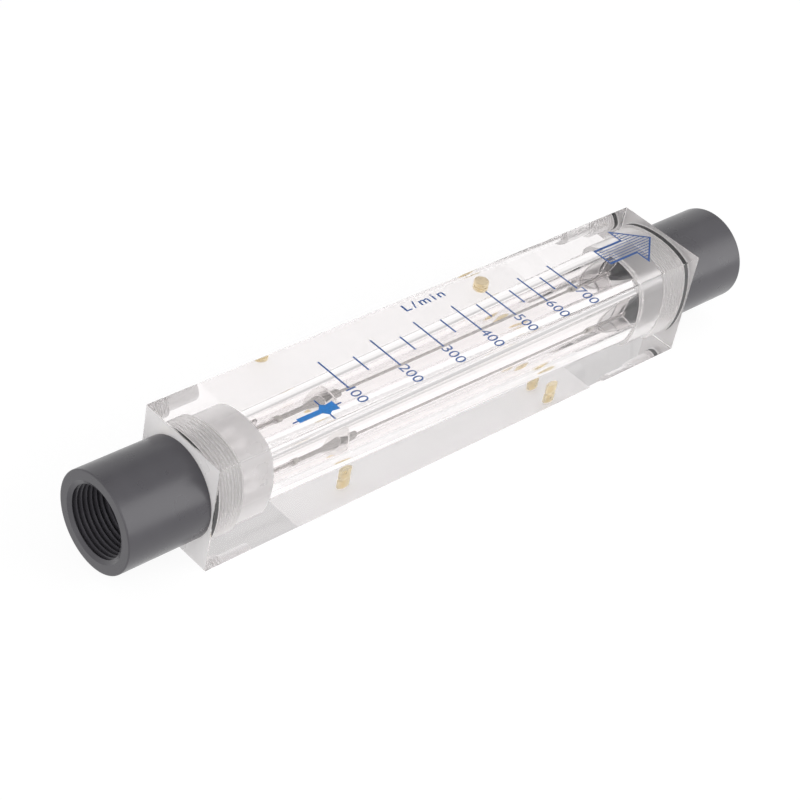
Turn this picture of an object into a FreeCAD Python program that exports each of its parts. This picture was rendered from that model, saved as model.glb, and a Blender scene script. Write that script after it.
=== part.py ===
import FreeCAD, Part
import math
import os

"""In-line acrylic-block rotameter with pipe-thread ends, lying on its flat back.

X runs along the flow, from the inlet end to the outlet end. Y runs across the block.
Z runs from the flat mounting back up to the scale face. All sizes are in millimetres.
"""

V = FreeCAD.Vector

# ---- acrylic block ----
body_length = 269.9
body_width = 44.45
body_height = 50.8
body_edge_break = 0.4
axis_height = 26.4

# ---- tapered metering bore: narrow at the inlet, wide at the outlet ----
bore_inlet_radius = 9.9
bore_outlet_radius = 15.3

# ---- stepped sockets that take the end fittings ----
socket_depth = 30.5
socket_radius = 17.5
socket_thread_radius = 19.0
socket_thread_depth = 15.5
cut_overrun = 1.0

# ---- end fittings ----
collar_radius = 21.08
collar_length = 38.1
collar_edge_break = 0.6
spigot_neck_radius = 17.9
spigot_thread_clearance = 0.12
spigot_end_gap = 0.5
spigot_nose_chamfer = 1.0
port_thread_radius = 15.9
port_thread_length = 20.0
port_mouth_chamfer = 0.9
port_passage_radius = 12.7

# ---- O-rings ----
seal_section_radius = 1.2
seal_clearance = 0.05
seal_face_gap = 0.7
seal_back_gap = 0.3
seal_section_sides = 8

# ---- guide rod and its supports ----
rod_radius = 1.2
rod_end_overhang = 1.5
rod_fit = 0.02
support_ring_thickness = 2.0
support_ring_clearance = 0.03
support_hub_radius = 2.4
support_hub_length = 20.0
support_arm_width = 1.2
support_arm_length = 6.0
support_arm_clearance = 0.1
support_arm_count = 3
clip_radius = 3.0
clip_thickness = 0.8
clip_gap = 0.05
stop_radius = 2.9
stop_width = 2.6
stop_chamfer = 0.5

# ---- float ----
float_disc_radius = 10.4
float_disc_thickness = 0.9
float_disc_edge = 0.3
float_tail_length = 20.3
float_tail_radius = 2.0
float_cone_length = 8.0
float_cone_radius = 4.9
float_hub_radius = 4.4
float_hub_length = 1.8
float_neck_radius = 3.2
float_neck_length = 1.8
float_head_length = 5.0
float_head_radius = 3.7
float_edge_break = 0.4
float_bush_clearance = 0.08
float_stop_gap = 0.1

# ---- threaded mounting inserts in the back ----
insert_radius = 3.3
insert_length = 9.5
insert_recess = 0.1
insert_fit = 0.03
insert_groove_depth = 0.35
insert_groove_width = 1.4
insert_hole_radius = 2.1
insert_hole_depth = 7.6
insert_hole_chamfer = 0.5
insert_spacing_x = 114.3
insert_spacing_y = 25.4

# ---- printed scale ----
ink_thickness = 0.05
scale_first_flow = 100.0
scale_last_flow = 700.0
scale_flow_step = 50.0
scale_first_distance = 42.5
scale_exponent = 0.721
mark_width = 0.45
major_mark_start = 8.2
major_mark_end = -10.2
minor_mark_start = 3.7
minor_mark_end = -5.8
icon_line_y = -15.4
icon_lead = 15.1
icon_ratio = 0.61
icon_stub_length = 2.6
icon_stub_width = 0.5
icon_head_ratio = 1.25

# ---- sizes that follow from those above ----
half_length = body_length / 2
shoulder_x = half_length - socket_depth
spigot_thread_radius = socket_thread_radius - spigot_thread_clearance
spigot_length = socket_thread_depth - spigot_end_gap
seal_ring_radius = spigot_neck_radius + seal_clearance + seal_section_radius
seal_seat_radius = seal_ring_radius + seal_section_radius + seal_clearance
seal_seat_depth = seal_face_gap + 2 * seal_section_radius + seal_back_gap
support_inner_end = shoulder_x + support_ring_thickness - support_hub_length
stop_face_x = support_inner_end - stop_width
float_head_start = float_disc_thickness + float_hub_length + float_neck_length
float_length = float_tail_length + float_head_start + float_head_length
float_tail_x = -stop_face_x + float_stop_gap
float_disc_x = float_tail_x + float_tail_length
float_travel = 2 * (stop_face_x - float_stop_gap) - float_length


def turned(profile):
    """Solid turned about the bore axis from a closed outline of (x, radius) points."""
    points = [V(x, 0, axis_height + radius) for x, radius in profile]
    face = Part.Face(Part.makePolygon(points + points[:1]))
    return face.revolve(V(0, 0, axis_height), V(1, 0, 0), 360)


def facing(side, profile):
    """Mirror an outline drawn for the outlet end to the end that side names: -1 or +1."""
    return [(side * x, radius) for x, radius in profile]


def bore_radius(x):
    """Radius of the tapered bore at a station along X."""
    share = (x + shoulder_x) / (2 * shoulder_x)
    return bore_inlet_radius + share * (bore_outlet_radius - bore_inlet_radius)


def socket_outline(side):
    """Steps of one end socket, from the block's end face in to the bore's shoulder."""
    steps = [
        (half_length + cut_overrun, seal_seat_radius),
        (half_length - seal_seat_depth, seal_seat_radius),
        (half_length - seal_seat_depth, socket_thread_radius),
        (half_length - socket_thread_depth, socket_thread_radius),
        (half_length - socket_thread_depth, socket_radius),
        (shoulder_x, socket_radius),
        (shoulder_x, bore_radius(side * shoulder_x)),
    ]
    return facing(side, steps)


def flow_passage():
    """The air passage through the block: two stepped sockets joined by the tapered bore."""
    inlet = socket_outline(-1)
    outlet = socket_outline(1)
    ends = [(half_length + cut_overrun, 0), (-half_length - cut_overrun, 0)]
    return turned(inlet + outlet[::-1] + ends)


def insert_places():
    """Centres of the mounting inserts: one near the inlet, a pair near the outlet."""
    near_outlet = insert_spacing_x / 2
    return [
        (-insert_spacing_x / 2, 0.0),
        (near_outlet, -insert_spacing_y / 2),
        (near_outlet, insert_spacing_y / 2),
    ]


def body_block():
    """Polished acrylic block with the flow passage and the insert pockets cut in it."""
    block = Part.makeBox(body_length, body_width, body_height, V(-half_length, -body_width / 2, 0))
    block = block.makeChamfer(body_edge_break, block.Edges)
    block = block.cut(flow_passage())
    pocket_depth = insert_length + 2 * insert_recess
    for x, y in insert_places():
        block = block.cut(Part.makeCylinder(insert_radius + insert_fit, pocket_depth, V(x, y, 0)))
    return block


def end_fitting(side):
    """PVC pipe adapter: collar with a tapped port, and a threaded spigot for the socket."""
    outer_end = half_length + collar_length
    port_floor = outer_end - port_thread_length
    spigot_end = half_length - spigot_length
    nose_radius = spigot_thread_radius - spigot_nose_chamfer
    outline = [
        (outer_end, port_thread_radius + port_mouth_chamfer),
        (outer_end - port_mouth_chamfer, port_thread_radius),
        (port_floor, port_thread_radius),
        (port_floor, port_passage_radius),
        (spigot_end, port_passage_radius),
        (spigot_end, nose_radius),
        (spigot_end + spigot_nose_chamfer, spigot_thread_radius),
        (half_length - seal_seat_depth, spigot_thread_radius),
        (half_length - seal_seat_depth, spigot_neck_radius),
        (half_length, spigot_neck_radius),
        (half_length, collar_radius),
        (outer_end - collar_edge_break, collar_radius),
        (outer_end, collar_radius - collar_edge_break),
    ]
    return turned(facing(side, outline))


def seal_ring(side):
    """O-ring squeezed between the spigot's neck and the seat at the socket's mouth."""
    centre_x = half_length - seal_face_gap - seal_section_radius
    corner_radius = seal_section_radius / math.cos(math.pi / seal_section_sides)
    section = []
    for index in range(seal_section_sides):
        angle = (2 * index + 1) * math.pi / seal_section_sides
        x = centre_x + corner_radius * math.cos(angle)
        section.append((x, seal_ring_radius + corner_radius * math.sin(angle)))
    return turned(facing(side, section))


def rod_support(side):
    """Clear spider at one end of the bore: seated ring, radial arms and a long rod hub."""
    ring_end = shoulder_x + support_ring_thickness
    arm_end = shoulder_x - support_arm_length
    bore_here = bore_radius(side * shoulder_x)
    ring_outer = socket_radius - support_ring_clearance
    hole_radius = rod_radius + rod_fit
    ring = turned(facing(side, [
        (ring_end, bore_here),
        (ring_end, ring_outer),
        (shoulder_x, ring_outer),
        (shoulder_x, bore_here),
    ]))
    hub_outline = facing(side, [
        (ring_end, 0),
        (ring_end, support_hub_radius),
        (support_inner_end, support_hub_radius),
        (support_inner_end, 0),
    ])
    arm_envelope = turned(facing(side, [
        (ring_end, 0),
        (ring_end, (bore_here + ring_outer) / 2),
        (shoulder_x, (bore_here + ring_outer) / 2),
        (shoulder_x, bore_here - support_arm_clearance),
        (arm_end, bore_radius(side * arm_end) - support_arm_clearance),
        (arm_end, 0),
    ]))
    spider = ring.fuse(turned(hub_outline))
    arm_length_x = ring_end - arm_end
    arm_x = min(side * ring_end, side * arm_end)
    for index in range(support_arm_count):
        arm = Part.makeBox(
            arm_length_x, support_arm_width, socket_radius,
            V(arm_x, -support_arm_width / 2, axis_height),
        )
        arm.rotate(V(0, 0, axis_height), V(1, 0, 0), index * 360 / support_arm_count)
        spider = spider.fuse(arm.common(arm_envelope))
    hole = Part.makeCylinder(
        hole_radius, body_length, V(-half_length, 0, axis_height), V(1, 0, 0),
    )
    return spider.removeSplitter().cut(hole)


def guide_rod():
    """Straight steel wire that the float runs on."""
    rod_end = shoulder_x + support_ring_thickness + rod_end_overhang
    rod = Part.makeCylinder(rod_radius, 2 * rod_end, V(-rod_end, 0, axis_height), V(1, 0, 0))
    return rod.makeChamfer(rod_radius / 4, [rod.Edges[0], rod.Edges[2]])


def rod_clips():
    """Push-on clips that hold the rod in its two supports."""
    inner_face = shoulder_x + support_ring_thickness + clip_gap
    outline = [
        (inner_face, rod_radius),
        (inner_face, clip_radius),
        (inner_face + clip_thickness, clip_radius),
        (inner_face + clip_thickness, rod_radius),
    ]
    return Part.makeCompound([turned(facing(side, outline)) for side in (-1, 1)])


def float_stop(side):
    """Bumper ring on the rod against the end of the support's hub."""
    outer = support_inner_end - clip_gap
    outline = [
        (outer, rod_radius + rod_fit),
        (outer, stop_radius),
        (stop_face_x + stop_chamfer, stop_radius),
        (stop_face_x, stop_radius - stop_chamfer),
        (stop_face_x, rod_radius + rod_fit),
    ]
    return turned(facing(side, outline))


def metering_float():
    """Turned steel float: slim tail, cone, thin metering disc, hub, neck and head."""
    hole_radius = rod_radius + float_bush_clearance
    disc_back = float_disc_x + float_disc_thickness
    hub_end = disc_back + float_hub_length
    neck_end = hub_end + float_neck_length
    head_end = neck_end + float_head_length
    cone_start = float_disc_x - float_cone_length
    outline = [
        (float_tail_x, hole_radius),
        (float_tail_x, float_tail_radius),
        (cone_start, float_tail_radius),
        (float_disc_x - float_disc_edge, float_cone_radius),
        (float_disc_x, float_disc_radius - float_disc_edge),
        (float_disc_x, float_disc_radius),
        (disc_back - float_disc_edge, float_disc_radius),
        (disc_back, float_disc_radius - float_disc_edge),
        (disc_back, float_hub_radius),
        (hub_end, float_neck_radius),
        (neck_end, float_neck_radius),
        (neck_end + float_edge_break, float_head_radius),
        (head_end - float_edge_break, float_head_radius),
        (head_end, float_head_radius - float_edge_break),
        (head_end, hole_radius),
    ]
    return turned(outline)


def mounting_insert(x, y):
    """Blind brass insert, grooved between its two knurled bands, tapped from the back."""
    base = insert_recess
    top = base + insert_length
    middle = base + insert_length / 2
    groove_radius = insert_radius - insert_groove_depth
    outline = [
        (0, base + insert_hole_depth),
        (insert_hole_radius, base + insert_hole_depth),
        (insert_hole_radius, base + insert_hole_chamfer),
        (insert_hole_radius + insert_hole_chamfer, base),
        (insert_radius, base),
        (insert_radius, middle - insert_groove_width / 2),
        (groove_radius, middle - insert_groove_width / 2),
        (groove_radius, middle + insert_groove_width / 2),
        (insert_radius, middle + insert_groove_width / 2),
        (insert_radius, top),
        (0, top),
    ]
    points = [V(x + radius, y, z) for radius, z in outline]
    face = Part.Face(Part.makePolygon(points + points[:1]))
    return face.revolve(V(x, y, 0), V(0, 0, 1), 360)


def mounting_inserts():
    """The three brass inserts that fasten the meter to a panel."""
    return Part.makeCompound([mounting_insert(x, y) for x, y in insert_places()])


def mark_x(flow):
    """Station of a scale mark: distance from the bore's narrow end grows as a power of flow."""
    return -shoulder_x + scale_first_distance * (flow / scale_first_flow) ** scale_exponent


def ink_box(x, y, length_x, length_y):
    """Thin rectangle of print centred at (x, y) on the scale face."""
    corner = V(x - length_x / 2, y - length_y / 2, body_height)
    return Part.makeBox(length_x, length_y, ink_thickness, corner)


def scale_mark(flow):
    """One graduation: long at the whole hundreds, short halfway between them."""
    is_major = flow % scale_first_flow == 0
    start = major_mark_start if is_major else minor_mark_start
    end = major_mark_end if is_major else minor_mark_end
    return ink_box(mark_x(flow), (start + end) / 2, mark_width, start - end)


def float_icon():
    """Small printed side view of the float beside the scale, drawn to the float's own shape."""
    cross_x = float_disc_x - icon_lead
    tail_start = cross_x - float_tail_length * icon_ratio
    head_end = cross_x + (float_length - float_tail_length) * icon_ratio
    hub_end = cross_x + (float_hub_length + float_disc_thickness) * icon_ratio
    tail_half = float_tail_radius * icon_ratio
    hub_half = float_hub_radius * icon_ratio
    neck_half = float_neck_radius * icon_ratio
    head_half = neck_half * icon_head_ratio
    upper = [
        (tail_start, tail_half),
        (cross_x - hub_half + tail_half, tail_half),
        (cross_x, hub_half),
        (hub_end, neck_half),
        (head_end, head_half),
    ]
    lower = [(x, -half) for x, half in upper[::-1]]
    points = [V(x, icon_line_y + offset, body_height) for x, offset in upper + lower]
    shape = Part.Face(Part.makePolygon(points + points[:1])).extrude(V(0, 0, ink_thickness))
    cross = ink_box(cross_x, icon_line_y, mark_width, 2 * float_disc_radius * icon_ratio)
    stub_length = head_end - tail_start + 2 * icon_stub_length
    stub = ink_box((head_end + tail_start) / 2, icon_line_y, stub_length, icon_stub_width)
    return shape.fuse([cross, stub]).removeSplitter()


def scale_marks():
    """All graduations and the float icon, as separate films of ink."""
    count = round((scale_last_flow - scale_first_flow) / scale_flow_step)
    flows = [scale_first_flow + index * scale_flow_step for index in range(count + 1)]
    return Part.makeCompound([scale_mark(flow) for flow in flows] + [float_icon()])


def main():
    """Write one STEP file for each sub-part."""
    os.makedirs("parts", exist_ok=True)
    sub_parts = {
        "body_block": body_block(),
        "inlet_fitting": end_fitting(-1),
        "outlet_fitting": end_fitting(1),
        "inlet_o_ring": seal_ring(-1),
        "outlet_o_ring": seal_ring(1),
        "inlet_rod_support": rod_support(-1),
        "outlet_rod_support": rod_support(1),
        "guide_rod": guide_rod(),
        "rod_clips": rod_clips(),
        "inlet_float_stop": float_stop(-1),
        "outlet_float_stop": float_stop(1),
        "metering_float": metering_float(),
        "mounting_inserts": mounting_inserts(),
        "scale_marks": scale_marks(),
    }
    for name, shape in sub_parts.items():
        shape.exportStep(os.path.join("parts", name + ".step"))
        print(name, "solids", len(shape.Solids), "valid", shape.isValid(), "volume", round(shape.Volume, 1))
    print("float travel", round(float_travel, 2), "disc at rest", round(float_disc_x, 2))


main()
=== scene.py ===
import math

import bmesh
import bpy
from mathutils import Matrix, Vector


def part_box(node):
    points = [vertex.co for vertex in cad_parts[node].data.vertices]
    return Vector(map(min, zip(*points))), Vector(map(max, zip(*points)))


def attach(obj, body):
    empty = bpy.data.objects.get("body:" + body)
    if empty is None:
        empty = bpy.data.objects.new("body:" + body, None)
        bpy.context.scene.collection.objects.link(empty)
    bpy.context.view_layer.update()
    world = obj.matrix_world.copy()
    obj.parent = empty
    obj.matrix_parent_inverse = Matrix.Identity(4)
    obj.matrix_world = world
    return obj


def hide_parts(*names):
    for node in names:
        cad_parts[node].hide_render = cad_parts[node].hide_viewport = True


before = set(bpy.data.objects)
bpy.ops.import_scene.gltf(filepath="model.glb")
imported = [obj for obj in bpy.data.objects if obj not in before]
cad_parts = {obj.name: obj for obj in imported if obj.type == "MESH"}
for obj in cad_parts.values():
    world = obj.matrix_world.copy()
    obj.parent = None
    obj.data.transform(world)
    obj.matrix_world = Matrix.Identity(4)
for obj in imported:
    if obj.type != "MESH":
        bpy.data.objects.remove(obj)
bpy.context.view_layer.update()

# Looks of an in-line acrylic-block flow meter that lies on its flat back.
#
# The CAD frame gives every overall size and place. Lengths are in metres, written as
# millimetres times MM. X runs along the flow and Z runs up to the scale face.

MM = 0.001

# ---- sizes read from the frame ----
block_low, block_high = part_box("body_block")
fitting_low, fitting_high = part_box("outlet_fitting")
rod_low, rod_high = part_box("guide_rod")
float_low, float_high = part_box("metering_float")
stop_low, stop_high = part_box("outlet_float_stop")
clip_low, clip_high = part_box("rod_clips")
insert_low, insert_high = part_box("mounting_inserts")
ink_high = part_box("scale_marks")[1]
HALF_LENGTH = block_high.x
AXIS_HEIGHT = (rod_low.z + rod_high.z) / 2
ROD_RADIUS = (rod_high.y - rod_low.y) / 2
COLLAR_RADIUS = (fitting_high.y - fitting_low.y) / 2
COLLAR_END = fitting_high.x
SCALE_FACE = block_high.z
INK_FILM = ink_high.z - SCALE_FACE

# ---- stepped sockets and bore ----
BLOCK_EDGE = 0.35 * MM
BLOCK_EDGE_STEPS = 3
SHOULDER = HALF_LENGTH - 30.5 * MM
SOCKET_RADIUS = 17.5 * MM
SEAT_RADIUS = 20.4 * MM
SEAT_DEPTH = 3.4 * MM
SEAT_LEAD = 0.5 * MM
JOINT_THREAD_END = 15.5 * MM
JOINT_THREAD_RADIUS = 19.0 * MM
JOINT_THREAD_PITCH = 1.5875 * MM
JOINT_THREAD_DEPTH = 0.86 * MM
JOINT_THREAD_GAP = 0.12 * MM
BORE_INLET_RADIUS = 9.9 * MM
BORE_OUTLET_RADIUS = 15.3 * MM
FROST_START = -88.5 * MM
FROST_END = 80.5 * MM

# ---- end fittings ----
SPIGOT_LENGTH = 15.0 * MM
SPIGOT_NECK_RADIUS = 17.9 * MM
SPIGOT_CHAMFER = 0.6 * MM
SPIGOT_LEAD = 0.1 * MM
PASSAGE_RADIUS = 12.7 * MM
PASSAGE_EDGE = 0.4 * MM
PORT_DEPTH = 20.0 * MM
PORT_RUNOUT = 1.5 * MM
PORT_THREAD_RADIUS = 15.75 * MM
PORT_THREAD_PITCH = 25.4 / 11.5 * MM
PORT_THREAD_DEPTH = 1.5 * MM
PORT_THREAD_TAPER = 1 / 32
PORT_MOUTH_RADIUS = 16.8 * MM
COLLAR_EDGE = 0.6 * MM
COLLAR_BACK_EDGE = 0.25 * MM

# ---- seals ----
SEAL_CENTRE = HALF_LENGTH - 1.75 * MM
SEAL_RING_RADIUS = 19.15 * MM
SEAL_SECTION_RADIUS = 1.75 * MM
SEAL_HALF_WIDTH = 1.55 * MM
SEAL_SEAT_CONTACT = 0.04 * MM
SEAL_SECTION_SIDES = 24

# ---- rod, clips and stops ----
ROD_EDGE = 0.35 * MM
CLIP_THICKNESS = 0.8 * MM
CLIP_EDGE = 0.2 * MM
STOP_EDGE = 0.55 * MM
STOP_HOLE_GAP = 0.02 * MM
SUPPORT_FLAT_ANGLE = 0.5

# ---- float, measured along from the front of its disc ----
FLOAT_TAIL_LENGTH = 20.3 * MM
FLOAT_TAIL_RADIUS = 2.0 * MM
FLOAT_TAIL_EDGE = 0.2 * MM
FLOAT_TAIL_BLEND = 1.0 * MM
FLOAT_CONE_LENGTH = 8.0 * MM
FLOAT_CONE_RADIUS = 4.9 * MM
FLOAT_CONE_EDGE = 0.3 * MM
FLOAT_CONE_TO_DISC = 0.3 * MM
FLOAT_DISC_THICKNESS = 0.9 * MM
FLOAT_DISC_EDGES = (0.15 * MM, 0.25 * MM)
FLOAT_HUB_RADIUS = 4.4 * MM
FLOAT_NECK = (2.7 * MM, 4.5 * MM)
FLOAT_NECK_RADIUS = 3.2 * MM
FLOAT_NECK_BLENDS = (0.4 * MM, 0.3 * MM)
FLOAT_HEAD_START = 4.7 * MM
FLOAT_HEAD_RADIUS = 3.7 * MM
FLOAT_HEAD_EDGES = (0.15 * MM, 0.4 * MM)
FLOAT_HOLE_GAP = 0.08 * MM
FLOAT_HEAD_REACH = float_high.x - float_low.x - FLOAT_TAIL_LENGTH

# ---- mounting inserts ----
INSERT_SPACING_X = 114.3 * MM
INSERT_SPACING_Y = 25.4 * MM
INSERT_RADIUS = 3.3 * MM
INSERT_EDGE = 0.3 * MM
INSERT_TOP_EDGE = 0.4 * MM
INSERT_GROOVE_HALF = 0.7 * MM
INSERT_GROOVE_DEPTH = 0.35 * MM
INSERT_HOLE_RADIUS = 2.1 * MM
INSERT_HOLE_DEPTH = 7.6 * MM
INSERT_HOLE_CHAMFER = 0.5 * MM
INSERT_THREAD_MARGIN = 0.6 * MM
INSERT_THREAD_PITCH = 0.794 * MM
INSERT_THREAD_DEPTH = 0.45 * MM
KNURL_TEETH = 42
KNURL_DEPTH = 0.22 * MM
KNURL_BITE = 0.37 * MM
POCKET_REACH = 1.1

# ---- scale print ----
FIRST_MARK_FLOW = 100
LAST_MARK_FLOW = 700
MARK_STEP = 50
SCALE_DISTANCE = 42.95 * MM
SCALE_EXPONENT = 0.7159
MARK_WIDTH = 0.8 * MM
LONG_MARK = (-10.2 * MM, 8.2 * MM)
SHORT_MARK = (-5.8 * MM, 3.7 * MM)
CAPITAL_SHARE = 0.7
LETTER_CURVE_STEPS = 5
NUMBER_HEIGHT = 5.0 * MM
NUMBER_START = -10.7 * MM
NUMBER_WIDEN = 1.09
NUMBER_WEIGHT = -0.002
FIRST_ONE_KERNING = -7.0
UNIT_HEIGHT = 4.2 * MM
UNIT_CENTRE_X = 3.5 * MM
UNIT_CENTRE_Y = 16.6 * MM
UNIT_WIDEN = 1.3
UNIT_WEIGHT = 0.012
UNIT_SPACING = 1.35

# ---- printed float, whose profile is (along, half width) at the real float's size ----
ICON_CROSS_X = -78.4 * MM
ICON_CENTRE_Y = -15.4 * MM
ICON_SCALE = 0.61
ICON_TAIL = 13.4 * MM
ICON_STUB = 2.6 * MM
ICON_LINE = 0.7 * MM
ICON_DISC_INNER = 3.2 * MM
ICON_PROFILE = (
    (-3.5 * MM, FLOAT_TAIL_RADIUS), (0.0, 5.5 * MM), (3.2 * MM, 3.4 * MM),
    (FLOAT_HEAD_REACH, 4.3 * MM),
)

# ---- flow arrow ----
ARROW_START = 95.0 * MM
ARROW_TIP = 127.0 * MM
ARROW_HEAD_LENGTH = 15.0 * MM
ARROW_NECK = ARROW_TIP - ARROW_HEAD_LENGTH
ARROW_SHAFT_HALF = 5.5 * MM
ARROW_HEAD_HALF = 13.0 * MM
ARROW_LINE = 0.8 * MM
HATCH_PITCH = 1.5 * MM
HATCH_WIDTH = 0.35 * MM
SHORTEST_HATCH = 1.0 * MM

# ---- mesh fineness ----
BORE_STEPS = 192
FITTING_STEPS = 160
FLOAT_STEPS = 128
SEAL_STEPS = 128
STOP_STEPS = 64
CLIP_STEPS = 64
ROD_STEPS = 48
POCKET_STEPS = 48
FILLET_STEPS = 4
FLAT_MARGIN = 0.2
SHARP_ANGLE = 30
BLOCK_SHARP_ANGLE = 12
MERGE_GAP = 1e-7
CAD_MERGE_GAP = 1e-6
ON_PLACE = 1e-6
OFF_PLACE = 1e-5
SAME_FACING = 0.999
WHOLE_TURN_MARGIN = 1e-6

# ---- colours ----
ACRYLIC_TINT = (0.994, 0.97, 0.97)
MILKY_TINT = (0.993, 0.974, 0.973)
ACRYLIC_IOR = 1.49
PVC_COLOUR = (0.064, 0.061, 0.07)
RUBBER_COLOUR = (0.012, 0.012, 0.013)
DRAWN_STEEL_COLOUR = (0.5, 0.49, 0.48)
TURNED_STEEL_COLOUR = (0.42, 0.41, 0.4)
POLISHED_STEEL_COLOUR = (0.82, 0.81, 0.8)
BRASS_COLOUR = (0.86, 0.74, 0.5)
STOP_COLOUR = (0.62, 0.6, 0.57)
SCALE_INK_COLOUR = (0.025, 0.09, 0.3)
ICON_INK_COLOUR = (0.016, 0.2, 0.58)

# ---- surface detail ----
CUT_PIT_SCALE = 1500.0
CUT_PIT_DEPTH = 0.004 * MM
USUAL_NOISE = (0.3, 0.7)
METAL_ROUGHNESS_DRIFT = 0.3
MIX_FIRST_COLOUR, MIX_SECOND_COLOUR, MIXED_COLOUR = 6, 7, 2

# ---- studio; a glow is the strength to the camera, to clear or shiny and to dull surfaces ----
FLOOR_HALF = 3.0
FLOOR_DROP = 0.2 * MM
FLOOR_COLOUR = 0.14
FLOOR_GLOW = (0.9, 0.97, 0.35)
WORLD_GLOW = (1.0, 0.98, 0.55)
CARD_PLACE = Vector((1.15, 0.95, 1.4))
CARD_HALF = 0.5
CARD_GLOW = (0.61, 0.61, 0.45)
KEY_LAMP_PLACE, KEY_LAMP_SIDE, KEY_LAMP_WATTS = (0.65, -0.98, 0.58), 1.3, 11
FILL_LAMP_PLACE, FILL_LAMP_SIDE, FILL_LAMP_WATTS = (-1.05, -0.4, 0.5), 1.1, 5.5
CLEAR_BOUNCES = 24
GLOSSY_BOUNCES = 20
DIFFUSE_BOUNCES = 12

# ---- camera ----
CAMERA_PLACE = Vector((-0.55791, -0.45457, 0.57143))
CAMERA_AIM = Vector((0.60252, 0.50704, -0.61634))
CAMERA_ROLL = math.radians(12.052)
CAMERA_LENS = 98.34
CAMERA_SENSOR = 36.0


# ------------------------------------------------------------------ outlines
def eased(outline):
    """Outline of (x, radius) or (x, radius, ease) points, with an arc at each eased corner."""
    points = []
    count = len(outline)
    for index, entry in enumerate(outline):
        corner = Vector(entry[:2])
        ease = entry[2] if len(entry) > 2 else 0
        if not ease:
            points.append(corner)
            continue
        before = Vector(outline[index - 1][:2])
        after = Vector(outline[(index + 1) % count][:2])
        enter = corner + (before - corner).normalized() * ease
        leave = corner + (after - corner).normalized() * ease
        points.append(enter.lerp(corner, -FLAT_MARGIN))
        for step in range(FILLET_STEPS + 1):
            t = step / FILLET_STEPS
            points.append(enter.lerp(corner, t).lerp(corner.lerp(leave, t), t))
        points.append(leave.lerp(corner, -FLAT_MARGIN))
    return [tuple(point) for point in points]


def thread_outline(start, length, pitch, radius, depth, taper=0.0):
    """Sixty-degree thread turns from start along X: pairs of crest and root points."""
    turns = int(length / pitch + WHOLE_TURN_MARGIN)
    flat = pitch / 8
    points = []
    for turn in range(turns):
        x = start + turn * pitch
        mean = radius - taper * turn * pitch
        low, high = mean - depth / 2, mean + depth / 2
        points += [
            (x, low), (x + flat, low),
            (x + pitch / 2, high), (x + pitch / 2 + flat, high),
        ]
    points.append((start + turns * pitch, radius - taper * length - depth / 2))
    return points


def facing(side, outline):
    """Outline drawn for the outlet end, mirrored to the end that side names."""
    return [(side * entry[0], *entry[1:]) for entry in outline]


# ------------------------------------------------------------------ meshes
def spin_outline(bm, outline, closed, steps, axis=(1, 0, 0), centre=(0, 0, AXIS_HEIGHT)):
    """Turn an outline about an axis through centre. (along, radius) lies in the plane of
    the axis and Z, or in the XZ plane where the axis is vertical."""
    centre = Vector(centre)
    if axis[2]:
        places = [centre + Vector((radius, 0, along)) for along, radius in outline]
    else:
        places = [centre + Vector((along, 0, radius)) for along, radius in outline]
    verts = [bm.verts.new(place) for place in places]
    edges = [bm.edges.new(pair) for pair in zip(verts, verts[1:])]
    if closed:
        edges.append(bm.edges.new((verts[-1], verts[0])))
    bmesh.ops.spin(
        bm, geom=verts + edges, cent=centre, axis=axis,
        angle=2 * math.pi, steps=steps, use_merge=True,
    )
    bmesh.ops.remove_doubles(bm, verts=bm.verts, dist=MERGE_GAP)


def turned_mesh(*outlines, steps):
    """A bmesh of closed outlines turned about the bore axis."""
    bm = bmesh.new()
    for outline in outlines:
        spin_outline(bm, eased(outline), True, steps)
    return bm


def make_piece(name, bm, body, node, slot, *materials, sharp_angle=SHARP_ANGLE):
    """Put a finished mesh in the scene, smooth but for its sharp corners, on its body."""
    bmesh.ops.recalc_face_normals(bm, faces=bm.faces)
    mesh = bpy.data.meshes.new(name)
    bm.to_mesh(mesh)
    bm.free()
    for polygon in mesh.polygons:
        polygon.use_smooth = True
    mesh.set_sharp_from_angle(angle=math.radians(sharp_angle))
    piece = bpy.data.objects.new(name, mesh)
    bpy.context.scene.collection.objects.link(piece)
    for material in materials:
        mesh.materials.append(material)
    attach(piece, body)
    if node:
        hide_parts(node)
    return piece


# ------------------------------------------------------------------ node helpers
def new_group(name, inputs, outputs):
    """Shader node group with its sockets, and its two end nodes."""
    group = bpy.data.node_groups.new(name, "ShaderNodeTree")
    for label, kind, value in inputs:
        socket = group.interface.new_socket(name=label, in_out="INPUT", socket_type=kind)
        if value is not None:
            socket.default_value = value
    for label, kind in outputs:
        group.interface.new_socket(name=label, in_out="OUTPUT", socket_type=kind)
    return group, group.nodes.new("NodeGroupInput"), group.nodes.new("NodeGroupOutput")


def combine(tree, first, second, operation):
    """Result of a sum on two sockets or numbers, as a socket."""
    node = tree.nodes.new("ShaderNodeMath")
    node.operation = operation
    for place, source in enumerate((first, second)):
        if isinstance(source, (int, float)):
            node.inputs[place].default_value = source
        else:
            tree.links.new(source, node.inputs[place])
    return node.outputs[0]


def spread_noise(group, noise, low, high):
    """Map a noise node's usual span onto the range between two sockets."""
    spread = group.nodes.new("ShaderNodeMapRange")
    spread.inputs["From Min"].default_value = USUAL_NOISE[0]
    spread.inputs["From Max"].default_value = USUAL_NOISE[1]
    group.links.new(noise.outputs["Fac"], spread.inputs["Value"])
    group.links.new(low, spread.inputs["To Min"])
    group.links.new(high, spread.inputs["To Max"])
    return spread.outputs["Result"]


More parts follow.
